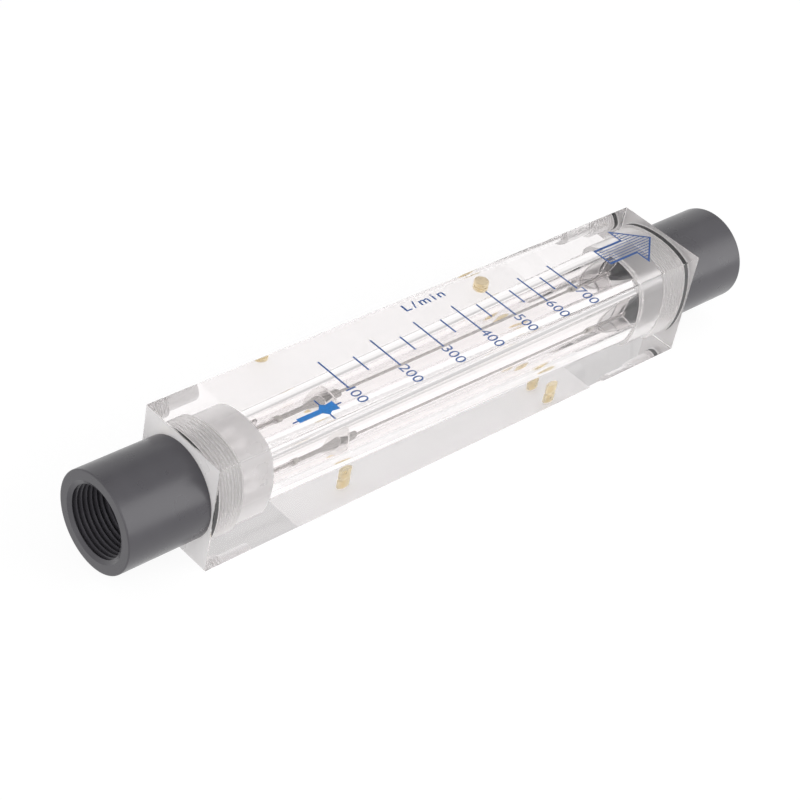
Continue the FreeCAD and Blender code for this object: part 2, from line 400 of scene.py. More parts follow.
def build_tone_group():
    """Cloudy change of colour and roughness that every finish here shares."""
    group, enter, leave = new_group(
        "uneven_tone",
        [
            ("Vector", "NodeSocketVector", None),
            ("Colour", "NodeSocketColor", (0.5, 0.5, 0.5, 1)),
            ("Patch Scale", "NodeSocketFloat", 100.0),
            ("Tone Amount", "NodeSocketFloat", 0.1),
            ("Roughness", "NodeSocketFloat", 0.4),
            ("Roughness Amount", "NodeSocketFloat", 0.05),
        ],
        [("Colour", "NodeSocketColor"), ("Roughness", "NodeSocketFloat")],
    )
    given = enter.outputs
    noise = group.nodes.new("ShaderNodeTexNoise")
    noise.inputs["Detail"].default_value = 5.0
    group.links.new(given["Vector"], noise.inputs["Vector"])
    group.links.new(given["Patch Scale"], noise.inputs["Scale"])
    tone = spread_noise(
        group, noise,
        combine(group, 1.0, given["Tone Amount"], "SUBTRACT"),
        combine(group, 1.0, given["Tone Amount"], "ADD"),
    )
    tint = group.nodes.new("ShaderNodeMix")
    tint.data_type = "RGBA"
    tint.blend_type = "MULTIPLY"
    tint.inputs["Factor"].default_value = 1.0
    group.links.new(given["Colour"], tint.inputs[MIX_FIRST_COLOUR])
    group.links.new(tone, tint.inputs[MIX_SECOND_COLOUR])
    group.links.new(tint.outputs[MIXED_COLOUR], leave.inputs["Colour"])
    rough = spread_noise(
        group, noise,
        combine(group, given["Roughness"], given["Roughness Amount"], "SUBTRACT"),
        combine(group, given["Roughness"], given["Roughness Amount"], "ADD"),
    )
    group.links.new(rough, leave.inputs["Roughness"])
    return group


def build_groove_group():
    """Fine uneven tool grooves across one direction, as a height."""
    group, enter, leave = new_group(
        "tool_grooves",
        [("Along", "NodeSocketFloat", 0.0), ("Groove Pitch", "NodeSocketFloat", 0.0002)],
        [("Height", "NodeSocketFloat")],
    )
    count = combine(group, enter.outputs["Along"], enter.outputs["Groove Pitch"], "DIVIDE")
    noise = group.nodes.new("ShaderNodeTexNoise")
    noise.noise_dimensions = "1D"
    noise.inputs["Scale"].default_value = 1.0
    noise.inputs["Detail"].default_value = 3.0
    group.links.new(count, noise.inputs["W"])
    group.links.new(noise.outputs["Fac"], leave.inputs["Height"])
    return group


def build_pit_group():
    """Fine pitted skin, as a height: moulded rubber, cut plastic and printed ink."""
    group, enter, leave = new_group(
        "pitted_skin",
        [("Vector", "NodeSocketVector", None), ("Pit Scale", "NodeSocketFloat", 3000.0)],
        [("Height", "NodeSocketFloat")],
    )
    noise = group.nodes.new("ShaderNodeTexNoise")
    noise.inputs["Detail"].default_value = 3.0
    noise.inputs["Roughness"].default_value = 0.6
    group.links.new(enter.outputs["Vector"], noise.inputs["Vector"])
    group.links.new(enter.outputs["Pit Scale"], noise.inputs["Scale"])
    group.links.new(noise.outputs["Fac"], leave.inputs["Height"])
    return group


uneven_tone = build_tone_group()
tool_grooves = build_groove_group()
pitted_skin = build_pit_group()


def place_group(tree, group, **values):
    """Put a shared group in a material with its own values."""
    node = tree.nodes.new("ShaderNodeGroup")
    node.node_tree = group
    for label, value in values.items():
        node.inputs[label.replace("_", " ")].default_value = value
    return node


def new_material(name, colour, roughness, patch_scale, tone_amount, roughness_amount, **sockets):
    """Principled material whose colour and roughness drift by the shared tone group."""
    material = bpy.data.materials.new(name)
    material.use_nodes = True
    tree = material.node_tree
    shader = tree.nodes["Principled BSDF"]
    for label, value in sockets.items():
        shader.inputs[label.replace("_", " ")].default_value = value
    place = tree.nodes.new("ShaderNodeTexCoord").outputs["Object"]
    tone = place_group(
        tree, uneven_tone, Colour=(*colour, 1), Patch_Scale=patch_scale,
        Tone_Amount=tone_amount, Roughness=roughness, Roughness_Amount=roughness_amount,
    )
    tree.links.new(place, tone.inputs["Vector"])
    tree.links.new(tone.outputs["Colour"], shader.inputs["Base Color"])
    tree.links.new(tone.outputs["Roughness"], shader.inputs["Roughness"])
    return material, tree, shader, place


def add_bump(tree, shader, height, depth, strength=1.0):
    """Feed a height to the shader's normal."""
    bump = tree.nodes.new("ShaderNodeBump")
    bump.inputs["Distance"].default_value = depth
    bump.inputs["Strength"].default_value = strength
    tree.links.new(height, bump.inputs["Height"])
    tree.links.new(bump.outputs["Normal"], shader.inputs["Normal"])


def add_grooves(tree, shader, place, axis, pitch, depth, strength=1.0):
    """Tool grooves across one axis of the piece, as bump."""
    split = tree.nodes.new("ShaderNodeSeparateXYZ")
    tree.links.new(place, split.inputs["Vector"])
    grooves = place_group(tree, tool_grooves, Groove_Pitch=pitch)
    tree.links.new(split.outputs[axis], grooves.inputs["Along"])
    add_bump(tree, shader, grooves.outputs["Height"], depth, strength)


def add_pits(tree, shader, place, scale, depth):
    """Pitted skin, as bump."""
    pits = place_group(tree, pitted_skin, Pit_Scale=scale)
    tree.links.new(place, pits.inputs["Vector"])
    add_bump(tree, shader, pits.outputs["Height"], depth)


# ------------------------------------------------------------------ finishes
def acrylic_finish(
        name, roughness, roughness_amount, clarity=1.0, pit_depth=0.0, tint=ACRYLIC_TINT):
    """Clear cast acrylic; a cut face is rougher, finely pitted and partly milky."""
    material, tree, shader, place = new_material(
        name, tint, roughness, patch_scale=60.0, tone_amount=0.003,
        roughness_amount=roughness_amount, Transmission_Weight=clarity, IOR=ACRYLIC_IOR,
    )
    if pit_depth:
        add_pits(tree, shader, place, CUT_PIT_SCALE, pit_depth)
    return material


def metal_finish(name, colour, roughness, axis, pitch, depth, tone_amount=0.06):
    """Turned or drawn metal with grooves across one axis."""
    material, tree, shader, place = new_material(
        name, colour, roughness, patch_scale=200.0, tone_amount=tone_amount,
        roughness_amount=roughness * METAL_ROUGHNESS_DRIFT, Metallic=1.0,
    )
    add_grooves(tree, shader, place, axis, pitch, depth)
    return material


def pvc_finish():
    """Dark grey machined PVC with fine turning marks."""
    material, tree, shader, place = new_material(
        "machined_pvc", PVC_COLOUR, roughness=0.3, patch_scale=90.0, tone_amount=0.06,
        roughness_amount=0.05,
    )
    add_grooves(tree, shader, place, "X", pitch=0.16 * MM, depth=0.004 * MM, strength=0.7)
    return material


def skin_finish(
        name, colour, roughness, patch_scale, tone_amount, roughness_amount, pit_scale,
        pit_depth):
    """Dull skin with fine pits: moulded rubber or plastic, or a film of screen ink."""
    material, tree, shader, place = new_material(
        name, colour, roughness, patch_scale, tone_amount, roughness_amount)
    add_pits(tree, shader, place, pit_scale, pit_depth)
    return material


def ink_finish(name, colour):
    """Screen-printed ink film with slightly uneven cover."""
    return skin_finish(
        name, colour, roughness=0.45, patch_scale=900.0, tone_amount=0.18,
        roughness_amount=0.08, pit_scale=4000.0, pit_depth=0.006 * MM)


polished_acrylic = acrylic_finish("polished_acrylic", roughness=0.004, roughness_amount=0.004)
bored_acrylic = acrylic_finish("bored_acrylic", roughness=0.08, roughness_amount=0.02)
machined_acrylic = acrylic_finish(
    "machined_acrylic", roughness=0.3, roughness_amount=0.04, clarity=0.18,
    pit_depth=CUT_PIT_DEPTH, tint=MILKY_TINT)
threaded_acrylic = acrylic_finish(
    "threaded_acrylic", roughness=0.2, roughness_amount=0.04, clarity=0.28,
    pit_depth=CUT_PIT_DEPTH, tint=MILKY_TINT)
reamed_acrylic = acrylic_finish(
    "reamed_acrylic", roughness=0.2, roughness_amount=0.04, clarity=0.52, tint=MILKY_TINT)
frosted_acrylic = acrylic_finish(
    "frosted_acrylic", roughness=0.85, roughness_amount=0.05, tint=MILKY_TINT)
clear_plastic = acrylic_finish(
    "clear_plastic", roughness=0.15, roughness_amount=0.03, clarity=0.9)
machined_pvc = pvc_finish()
seal_rubber = skin_finish(
    "seal_rubber", RUBBER_COLOUR, roughness=0.5, patch_scale=300.0, tone_amount=0.2,
    roughness_amount=0.08, pit_scale=2500.0, pit_depth=0.02 * MM)
drawn_steel = metal_finish(
    "drawn_steel", DRAWN_STEEL_COLOUR, roughness=0.25, axis="Y", pitch=0.08 * MM,
    depth=0.004 * MM)
turned_steel = metal_finish(
    "turned_steel", TURNED_STEEL_COLOUR, roughness=0.22, axis="X", pitch=0.12 * MM,
    depth=0.008 * MM)
polished_steel = metal_finish(
    "polished_steel", POLISHED_STEEL_COLOUR, roughness=0.12, axis="Y", pitch=0.3 * MM,
    depth=0.001 * MM)
turned_brass = metal_finish(
    "turned_brass", BRASS_COLOUR, roughness=0.3, axis="Z", pitch=0.2 * MM, depth=0.01 * MM,
    tone_amount=0.1)
stop_plastic = skin_finish(
    "stop_plastic", STOP_COLOUR, roughness=0.4, patch_scale=400.0, tone_amount=0.08,
    roughness_amount=0.06, pit_scale=2000.0, pit_depth=0.01 * MM)
scale_ink = ink_finish("scale_ink", SCALE_INK_COLOUR)
icon_ink = ink_finish("icon_ink", ICON_INK_COLOUR)


# ------------------------------------------------------------------ acrylic block
BLOCK_FINISHES = (
    polished_acrylic, bored_acrylic, machined_acrylic, threaded_acrylic, frosted_acrylic,
    reamed_acrylic,
)
POLISHED, BORED, MACHINED, THREADED, FROSTED, REAMED = range(len(BLOCK_FINISHES))


def bore_radius(x):
    """Radius of the tapered metering bore at a station along X."""
    share = (x + SHOULDER) / (2 * SHOULDER)
    return BORE_INLET_RADIUS + share * (BORE_OUTLET_RADIUS - BORE_INLET_RADIUS)


def socket_outline(side):
    """One end socket from the block's end face to the bore's shoulder, for that side."""
    thread_start = HALF_LENGTH - JOINT_THREAD_END
    thread_length = JOINT_THREAD_END - SEAT_DEPTH
    outline = [
        (SHOULDER, bore_radius(side * SHOULDER)),
        (SHOULDER, SOCKET_RADIUS),
        (thread_start, SOCKET_RADIUS),
    ]
    outline += thread_outline(
        thread_start, thread_length, JOINT_THREAD_PITCH, JOINT_THREAD_RADIUS, JOINT_THREAD_DEPTH)
    outline += [
        (HALF_LENGTH - SEAT_DEPTH, JOINT_THREAD_RADIUS - JOINT_THREAD_DEPTH / 2),
        (HALF_LENGTH - SEAT_DEPTH, SEAT_RADIUS),
        (HALF_LENGTH - SEAT_LEAD, SEAT_RADIUS),
        (HALF_LENGTH, SEAT_RADIUS + SEAT_LEAD),
    ]
    return facing(side, outline)


def insert_places():
    """Centres of the brass inserts on the back."""
    return [
        (-INSERT_SPACING_X / 2, 0.0),
        (INSERT_SPACING_X / 2, -INSERT_SPACING_Y / 2),
        (INSERT_SPACING_X / 2, INSERT_SPACING_Y / 2),
    ]


def in_insert_pocket(place):
    """Whether a place on the block lies on the wall or the roof of an insert's pocket."""
    return OFF_PLACE < place.z < insert_high.z + MM and any(
        math.hypot(place.x - x, place.y - y) < INSERT_RADIUS * POCKET_REACH
        for x, y in insert_places()
    )


def fill_open_face(bm, is_on_face, face_normal):
    """Replace the largest flat face of a side by one that leaves the holes in it open."""
    flat = [
        face for face in bm.faces
        if abs(face.normal.dot(face_normal)) > SAME_FACING
        and all(is_on_face(v.co) for v in face.verts)
    ]
    largest = max(flat, key=lambda face: face.calc_area())
    bmesh.ops.delete(bm, geom=[largest], context="FACES_ONLY")
    rims = [
        edge for edge in bm.edges
        if edge.is_boundary and all(is_on_face(v.co) for v in edge.verts)
    ]
    bmesh.ops.triangle_fill(bm, use_beauty=True, use_dissolve=False, edges=rims)


def block_shell(bm):
    """Outer faces of the block, with eased edges, split where the sanded back begins."""
    size = block_high - block_low
    centre = (block_high + block_low) / 2
    matrix = Matrix.Translation(centre) @ Matrix.Diagonal((*size, 1))
    cube = bmesh.ops.create_cube(bm, size=1.0, matrix=matrix)
    edges = {edge for vert in cube["verts"] for edge in vert.link_edges}
    bmesh.ops.bevel(
        bm, geom=list(edges), offset=BLOCK_EDGE, offset_type="OFFSET",
        segments=BLOCK_EDGE_STEPS, profile=0.5, affect="EDGES", material=-1,
    )
    for x in (FROST_START, FROST_END):
        geometry = bm.verts[:] + bm.edges[:] + bm.faces[:]
        bmesh.ops.bisect_plane(bm, geom=geometry, plane_co=(x, 0, 0), plane_no=(1, 0, 0))


def acrylic_zone(face):
    """Finish of a block face, by how that face is made."""
    centre = face.calc_center_median()
    radius = math.hypot(centre.y, centre.z - AXIS_HEIGHT)
    depth = HALF_LENGTH - abs(centre.x)
    if centre.z < OFF_PLACE and FROST_START < centre.x < FROST_END:
        return FROSTED
    if in_insert_pocket(centre) or depth < ON_PLACE:
        return MACHINED
    if radius > SEAT_RADIUS + SEAT_LEAD:
        return POLISHED
    if abs(centre.x) < SHOULDER - ON_PLACE:
        return BORED
    if SEAT_DEPTH < depth < JOINT_THREAD_END and radius > SOCKET_RADIUS + OFF_PLACE:
        return THREADED
    if centre.x > SHOULDER + OFF_PLACE and depth > JOINT_THREAD_END:
        return REAMED
    return MACHINED


def bored_block():
    """The acrylic block: outer shell, stepped and threaded passage, and insert pockets."""
    bm = bmesh.new()
    block_shell(bm)
    passage = socket_outline(-1)[::-1] + socket_outline(1)
    spin_outline(bm, passage, False, BORE_STEPS)
    pocket_radius = INSERT_RADIUS - KNURL_BITE
    pocket_top = insert_high.z - KNURL_BITE
    pocket = [(0, pocket_radius), (pocket_top, pocket_radius), (pocket_top, 0)]
    for x, y in insert_places():
        spin_outline(bm, pocket, False, POCKET_STEPS, axis=(0, 0, 1), centre=(x, y, 0))
    for x in (-HALF_LENGTH, HALF_LENGTH):
        fill_open_face(bm, lambda place: abs(place.x - x) < MERGE_GAP, Vector((1, 0, 0)))
    fill_open_face(
        bm,
        lambda place: abs(place.z) < MERGE_GAP
        and FROST_START - MERGE_GAP < place.x < FROST_END + MERGE_GAP,
        Vector((0, 0, 1)),
    )
    for face in bm.faces:
        face.material_index = acrylic_zone(face)
    return make_piece(
        "acrylic_block", bm, "housing", "body_block", "clear_acrylic", *BLOCK_FINISHES,
        sharp_angle=BLOCK_SHARP_ANGLE,
    )


# ------------------------------------------------------------------ fittings and seals
def end_fitting(side, name, node):
    """PVC adapter: tapped port, collar, seal neck and threaded spigot."""
    port_floor = COLLAR_END - PORT_DEPTH
    spigot_end = HALF_LENGTH - SPIGOT_LENGTH
    thread_start = HALF_LENGTH - JOINT_THREAD_END
    male = thread_outline(
        thread_start + JOINT_THREAD_PITCH, JOINT_THREAD_END - SEAT_DEPTH - JOINT_THREAD_PITCH,
        JOINT_THREAD_PITCH, JOINT_THREAD_RADIUS - JOINT_THREAD_GAP, JOINT_THREAD_DEPTH)
    male_start, male_root = male[0]
    countersink = PORT_MOUTH_RADIUS - PORT_THREAD_RADIUS
    thread_mouth = COLLAR_END - countersink
    port = thread_outline(
        0, PORT_DEPTH - countersink - PORT_RUNOUT, PORT_THREAD_PITCH, PORT_THREAD_RADIUS,
        PORT_THREAD_DEPTH, PORT_THREAD_TAPER)
    port = [(thread_mouth - x, radius) for x, radius in port]
    port_root = PORT_THREAD_RADIUS - PORT_THREAD_TAPER * PORT_DEPTH - PORT_THREAD_DEPTH / 2
    outline = [(COLLAR_END, PORT_MOUTH_RADIUS)] + port + [
        (port_floor, port_root),
        (port_floor, PASSAGE_RADIUS, PASSAGE_EDGE),
        (spigot_end, PASSAGE_RADIUS, PASSAGE_EDGE),
        (spigot_end, male_root - SPIGOT_CHAMFER),
        (male_start - SPIGOT_LEAD, male_root),
    ] + male + [
        (HALF_LENGTH - SEAT_DEPTH, SPIGOT_NECK_RADIUS),
        (HALF_LENGTH, SPIGOT_NECK_RADIUS),
        (HALF_LENGTH, COLLAR_RADIUS, COLLAR_BACK_EDGE),
        (COLLAR_END, COLLAR_RADIUS, COLLAR_EDGE),
    ]
    bm = turned_mesh(facing(side, outline), steps=FITTING_STEPS)
    return make_piece(name, bm, "housing", node, "grey_pvc", machined_pvc)


def seal_ring(side, name, node):
    """O-ring squeezed flat where it touches its neck and its seat."""
    outline = []
    for step in range(SEAL_SECTION_SIDES):
        angle = 2 * math.pi * step / SEAL_SECTION_SIDES
        radius = SEAL_RING_RADIUS + SEAL_SECTION_RADIUS * math.sin(angle)
        radius = min(max(radius, SPIGOT_NECK_RADIUS), SEAT_RADIUS + SEAL_SEAT_CONTACT)
        reach = SEAL_SECTION_RADIUS * math.cos(angle)
        reach = min(max(reach, -SEAL_HALF_WIDTH), SEAL_HALF_WIDTH)
        outline.append((SEAL_CENTRE + reach, radius))
    bm = turned_mesh(facing(side, outline), steps=SEAL_STEPS)
    return make_piece(name, bm, "housing", node, "seal_rubber", seal_rubber)


# ------------------------------------------------------------------ rod, supports, stops
def rod_support(name, node):
    """Clear spider that holds the rod, from the CAD solid with its facets merged."""
    bm = bmesh.new()
    bm.from_mesh(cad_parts[node].data)
    bmesh.ops.remove_doubles(bm, verts=bm.verts, dist=CAD_MERGE_GAP)
    bmesh.ops.dissolve_limit(
        bm, angle_limit=math.radians(SUPPORT_FLAT_ANGLE), verts=bm.verts, edges=bm.edges,
        delimit={"NORMAL"})
    return make_piece(name, bm, "housing", node, "clear_plastic", clear_plastic)


def guide_rod():
    """Straight drawn wire with eased ends."""
    outline = [
        (rod_low.x, 0), (rod_low.x, ROD_RADIUS, ROD_EDGE),
        (rod_high.x, ROD_RADIUS, ROD_EDGE), (rod_high.x, 0),
    ]
    bm = bmesh.new()
    spin_outline(bm, eased(outline), False, ROD_STEPS)
    return make_piece("guide_rod_wire", bm, "housing", "guide_rod", "stainless_rod", drawn_steel)


def rod_clips():
    """Push-on rings that hold the rod in its two supports."""
    radius = (clip_high.y - clip_low.y) / 2
    inner = clip_high.x - CLIP_THICKNESS
    outline = [
        (clip_high.x, ROD_RADIUS), (clip_high.x, radius, CLIP_EDGE),
        (inner, radius, CLIP_EDGE), (inner, ROD_RADIUS),
    ]
    bm = turned_mesh(facing(-1, outline), facing(1, outline), steps=CLIP_STEPS)
    return make_piece("rod_clip_rings", bm, "housing", "rod_clips", "stainless_rod", drawn_steel)


def float_stop(side, name, node):
    """Bumper ring against the support's hub."""
    radius = (stop_high.y - stop_low.y) / 2
    hole = ROD_RADIUS + STOP_HOLE_GAP
    outline = [
        (stop_high.x, hole), (stop_high.x, radius, STOP_EDGE / 2),
        (stop_low.x, radius, STOP_EDGE), (stop_low.x, hole),
    ]
    bm = turned_mesh(facing(side, outline), steps=STOP_STEPS)
    return make_piece(name, bm, "housing", node, "stop_plastic", stop_plastic)


# ------------------------------------------------------------------ float
def metering_float():
    """Turned steel float: slim tail, cone, thin polished disc, hub, neck and head."""
    hole = ROD_RADIUS + FLOAT_HOLE_GAP
    disc_radius = (float_high.y - float_low.y) / 2
    disc = float_low.x + FLOAT_TAIL_LENGTH
    neck_start, neck_end = FLOAT_NECK
    outline = [
        (float_low.x, hole),
        (float_low.x, FLOAT_TAIL_RADIUS, FLOAT_TAIL_EDGE),
        (disc - FLOAT_CONE_LENGTH, FLOAT_TAIL_RADIUS, FLOAT_TAIL_BLEND),
        (disc - FLOAT_CONE_TO_DISC, FLOAT_CONE_RADIUS, FLOAT_CONE_EDGE),
        (disc, disc_radius, FLOAT_DISC_EDGES[0]),
        (disc + FLOAT_DISC_THICKNESS, disc_radius, FLOAT_DISC_EDGES[1]),
        (disc + FLOAT_DISC_THICKNESS, FLOAT_HUB_RADIUS),
        (disc + neck_start, FLOAT_NECK_RADIUS, FLOAT_NECK_BLENDS[0]),
        (disc + neck_end, FLOAT_NECK_RADIUS, FLOAT_NECK_BLENDS[1]),
        (disc + FLOAT_HEAD_START, FLOAT_HEAD_RADIUS, FLOAT_HEAD_EDGES[0]),
        (float_high.x, FLOAT_HEAD_RADIUS, FLOAT_HEAD_EDGES[1]),
        (float_high.x, hole),
    ]
    bm = turned_mesh(outline, steps=FLOAT_STEPS)
    for face in bm.faces:
        centre = face.calc_center_median()
        radius = math.hypot(centre.y, centre.z - AXIS_HEIGHT)
        face.material_index = int(radius > FLOAT_CONE_RADIUS)
    return make_piece(
        "turned_float", bm, "float", "metering_float", "stainless_float",
        turned_steel, polished_steel)


# ------------------------------------------------------------------ mounting inserts
def insert_outline():
    """Half section of an insert: tapped blind hole, rim, two bands and a groove."""
    base, top = insert_low.z, insert_high.z
    groove_low = (base + top) / 2 - INSERT_GROOVE_HALF
    groove_high = (base + top) / 2 + INSERT_GROOVE_HALF
    thread_top = base + INSERT_HOLE_DEPTH
    turns = thread_outline(
        base + INSERT_THREAD_MARGIN, INSERT_HOLE_DEPTH - 2 * INSERT_THREAD_MARGIN,
        INSERT_THREAD_PITCH, INSERT_HOLE_RADIUS, INSERT_THREAD_DEPTH)
    outline = [(thread_top, 0), (thread_top, INSERT_HOLE_RADIUS - INSERT_THREAD_DEPTH / 2)]
    return outline + turns[::-1] + [
        (base, INSERT_HOLE_RADIUS + INSERT_HOLE_CHAMFER),
        (base, INSERT_RADIUS - INSERT_EDGE),
        (base + INSERT_EDGE, INSERT_RADIUS),
        (groove_low, INSERT_RADIUS),
        (groove_low, INSERT_RADIUS - INSERT_GROOVE_DEPTH),
        (groove_high, INSERT_RADIUS - INSERT_GROOVE_DEPTH),
        (groove_high, INSERT_RADIUS),
        (top - INSERT_EDGE, INSERT_RADIUS),
        (top, INSERT_RADIUS - INSERT_TOP_EDGE),
        (top, 0),
    ]


def knurled_inserts():
    """Three blind brass inserts, with every second line of their bands cut in as a knurl."""
    bm = bmesh.new()
    outline = insert_outline()
    for x, y in insert_places():
        spin_outline(bm, outline, False, 2 * KNURL_TEETH, axis=(0, 0, 1), centre=(x, y, 0))
        for vert in bm.verts:
            offset = Vector((vert.co.x - x, vert.co.y - y))
            if abs(offset.length - INSERT_RADIUS) > ON_PLACE:
                continue
            turn = math.atan2(offset.y, offset.x) / math.pi * KNURL_TEETH
            if round(turn) % 2:
                vert.co.xy = Vector((x, y)) + offset * (1 - KNURL_DEPTH / INSERT_RADIUS)
    return make_piece(
        "knurled_inserts", bm, "housing", "mounting_inserts", "insert_brass", turned_brass)


# ------------------------------------------------------------------ print on the scale face
def ink_bar(bm, x_span, y_span):
    """Rectangle of print between two stations along the block and two across it."""
    size = (x_span[1] - x_span[0], y_span[1] - y_span[0], INK_FILM)
    centre = (sum(x_span) / 2, sum(y_span) / 2, SCALE_FACE + INK_FILM / 2)
    matrix = Matrix.Translation(centre) @ Matrix.Diagonal((*size, 1))
    bmesh.ops.create_cube(bm, size=1.0, matrix=matrix)


def raise_film(bm, faces):
    """Give flat faces on the scale face the ink's thickness; returns the raised corners."""
    raised = bmesh.ops.extrude_face_region(bm, geom=faces)["geom"]
    verts = [item for item in raised if isinstance(item, bmesh.types.BMVert)]
    bmesh.ops.translate(bm, verts=verts, vec=(0, 0, INK_FILM))
    return verts


def flat_text(words, height, widen, weight, spacing=1.0, first_kerning=0.0):
    """Thin lettering lying in the XY plane, centred on the origin, as a mesh."""
    curve = bpy.data.curves.new("lettering", "FONT")
    curve.body = words
    curve.align_x = "CENTER"
    curve.align_y = "CENTER"
    curve.size = 1.0
    curve.offset = weight
    curve.space_character = spacing
    curve.extrude = 0.5
    curve.resolution_u = LETTER_CURVE_STEPS
    curve.body_format[0].kerning = first_kerning
    lettering = bpy.data.objects.new("lettering", curve)
    bpy.context.scene.collection.objects.link(lettering)
    bpy.context.view_layer.update()
    graph = bpy.context.evaluated_depsgraph_get()
    mesh = bpy.data.meshes.new_from_object(lettering.evaluated_get(graph))
    bpy.data.objects.remove(lettering)
    bpy.data.curves.remove(curve)
    scale = height / CAPITAL_SHARE
    mesh.transform(Matrix.Diagonal((scale * widen, scale, INK_FILM, 1)))
    mesh.transform(Matrix.Translation((0, 0, INK_FILM / 2)))
    return mesh


def add_lettering(bm, mesh, x, y, turn):
    """Join a lettering mesh to the print at a place on the scale face."""
    mesh.transform(Matrix.Translation((x, y, SCALE_FACE)) @ Matrix.Rotation(turn, 4, "Z"))
    bm.from_mesh(mesh)
    bpy.data.meshes.remove(mesh)


def mark_place(flow):
    """Station of a flow value on the scale."""
    return -SHOULDER + SCALE_DISTANCE * (flow / FIRST_MARK_FLOW) ** SCALE_EXPONENT


def scale_numbers():
    """The numbers at the long marks, read across the block."""
    bm = bmesh.new()
    for flow in range(FIRST_MARK_FLOW, LAST_MARK_FLOW + 1, FIRST_MARK_FLOW):
        kerning = FIRST_ONE_KERNING if str(flow).startswith("1") else 0.0
        mesh = flat_text(
            str(flow), NUMBER_HEIGHT, NUMBER_WIDEN, NUMBER_WEIGHT, first_kerning=kerning)
        start = NUMBER_START + min(v.co.x for v in mesh.vertices)
        add_lettering(bm, mesh, mark_place(flow), start, -math.pi / 2)
    bmesh.ops.remove_doubles(bm, verts=bm.verts, dist=MERGE_GAP)
    return make_piece("scale_numbers", bm, "housing", None, "scale_ink", scale_ink)


def unit_label():
    """Plain unit beside the scale."""
    bm = bmesh.new()
    mesh = flat_text("L/min", UNIT_HEIGHT, UNIT_WIDEN, UNIT_WEIGHT, UNIT_SPACING)
    add_lettering(bm, mesh, UNIT_CENTRE_X, UNIT_CENTRE_Y, 0.0)
    bmesh.ops.remove_doubles(bm, verts=bm.verts, dist=MERGE_GAP)
    return make_piece("unit_label", bm, "housing", None, "scale_ink", scale_ink)


def arrow_corners():
    """Corners of the flow arrow, clockwise."""
    upper = [
        (ARROW_START, ARROW_SHAFT_HALF), (ARROW_NECK, ARROW_SHAFT_HALF),
        (ARROW_NECK, ARROW_HEAD_HALF), (ARROW_TIP, 0.0),
    ]
    lower = [(x, -y) for x, y in upper[-2::-1]]
    return [Vector(corner) for corner in upper + lower]


def inset_corners(corners, inset):
    """Corners of a clockwise outline moved inward by the same distance from every side."""
    moved = []
    for index, corner in enumerate(corners):
        enter = (corner - corners[index - 1]).normalized()
        leave = (corners[(index + 1) % len(corners)] - corner).normalized()
        inward = Vector((enter.y, -enter.x)) + Vector((leave.y, -leave.x))
        moved.append(corner + inward * inset * 2 / inward.length_squared)
    return moved


def flow_arrow():
    """Outlined flow-direction arrow with a fine hatch, printed at the outlet end."""
    bm = bmesh.new()
    outer = arrow_corners()
    rings = [
        [bm.verts.new((*corner, SCALE_FACE)) for corner in corners]
        for corners in (outer, inset_corners(outer, ARROW_LINE))
    ]
    for index in range(len(outer)):
        bm.faces.new([rings[0][index - 1], rings[0][index], rings[1][index], rings[1][index - 1]])
    raise_film(bm, bm.faces[:])
    lines = int(ARROW_HEAD_HALF / HATCH_PITCH)
    for index in range(-lines, lines + 1):
        y = index * HATCH_PITCH
        start = ARROW_START if abs(y) < ARROW_SHAFT_HALF - ARROW_LINE else ARROW_NECK
        start += ARROW_LINE
        slope = ARROW_HEAD_LENGTH * (1 - abs(y) / ARROW_HEAD_HALF)
        end = ARROW_NECK + slope - ARROW_LINE
        if end - start >= SHORTEST_HATCH:
            ink_bar(bm, (start, end), (y - HATCH_WIDTH / 2, y + HATCH_WIDTH / 2))
    return make_piece("flow_arrow", bm, "housing", None, "scale_ink", scale_ink)


def icon_body(bm):
    """Solid side view of the float, printed beside the scale; returns its faces."""
    upper = [(-ICON_TAIL, FLOAT_TAIL_RADIUS * ICON_SCALE)]
    upper += [(x * ICON_SCALE, y * ICON_SCALE) for x, y in ICON_PROFILE]
    corners = upper + [(x, -y) for x, y in upper[::-1]]
    base = bm.faces.new([
        bm.verts.new((ICON_CROSS_X + x, ICON_CENTRE_Y + y, SCALE_FACE)) for x, y in corners])
    verts = raise_film(bm, [base])
    return {face for vert in verts for face in vert.link_faces}


def scale_print():
    """The graduations and the float icon, whose body has a brighter ink."""
    bm = bmesh.new()
    for face in icon_body(bm):
        face.material_index = 1
    half = MARK_WIDTH / 2
    for flow in range(FIRST_MARK_FLOW, LAST_MARK_FLOW + 1, MARK_STEP):
        x = mark_place(flow)
        ink_bar(bm, (x - half, x + half), SHORT_MARK if flow % FIRST_MARK_FLOW else LONG_MARK)
    disc_half = (float_high.y - float_low.y) / 2 * ICON_SCALE
    line = ICON_LINE / 2
    for side in (-1, 1):
        ends = sorted((ICON_CENTRE_Y + side * ICON_DISC_INNER, ICON_CENTRE_Y + side * disc_half))
        ink_bar(bm, (ICON_CROSS_X - line, ICON_CROSS_X + line), ends)
    tail_end = ICON_CROSS_X - ICON_TAIL
    head_end = ICON_CROSS_X + FLOAT_HEAD_REACH * ICON_SCALE
    for span in ((tail_end - ICON_STUB, tail_end), (head_end, head_end + ICON_STUB)):
        ink_bar(bm, span, (ICON_CENTRE_Y - line, ICON_CENTRE_Y + line))
    return make_piece(
        "scale_print", bm, "housing", "scale_marks", "scale_ink", scale_ink, icon_ink)


def hide_print_echoes(*pieces):
    """Leave the print out of its mirror images deep in the clear block, which the real
    block blurs away."""
    for piece in pieces:
        piece.visible_glossy = False
        piece.visible_transmission = False


